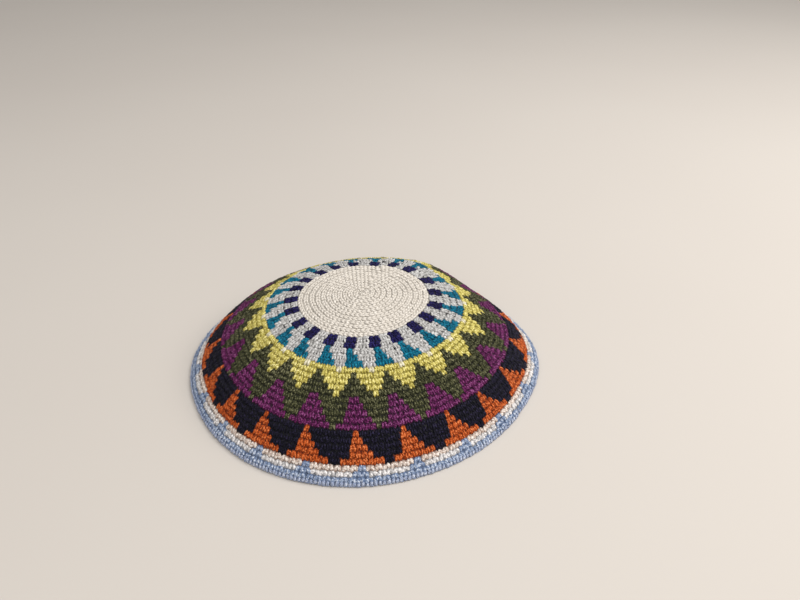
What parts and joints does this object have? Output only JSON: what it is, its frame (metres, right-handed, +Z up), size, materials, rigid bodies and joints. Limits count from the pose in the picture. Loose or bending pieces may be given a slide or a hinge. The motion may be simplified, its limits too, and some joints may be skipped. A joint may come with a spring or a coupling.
{
  "type": "crocheted kippah skullcap",
  "caption": "Shallow round crocheted skullcap with rings of coloured triangles and a light border, open below for the head.",
  "frame": {"origin": "middle of the cap's outline, on the surface it rests on", "axes": "+Z up through the crown, -Y towards the front, +X towards the right"},
  "size_m": [0.1668, 0.1604, 0.0378],
  "materials": {
    "crown_yarn": "matt crocheted cotton",
    "border_yarn": "matt crocheted cotton"
  },
  "bodies": {
    "root": {"crown": "crown_yarn", "border": "border_yarn"}
  },
  "joints": []
}
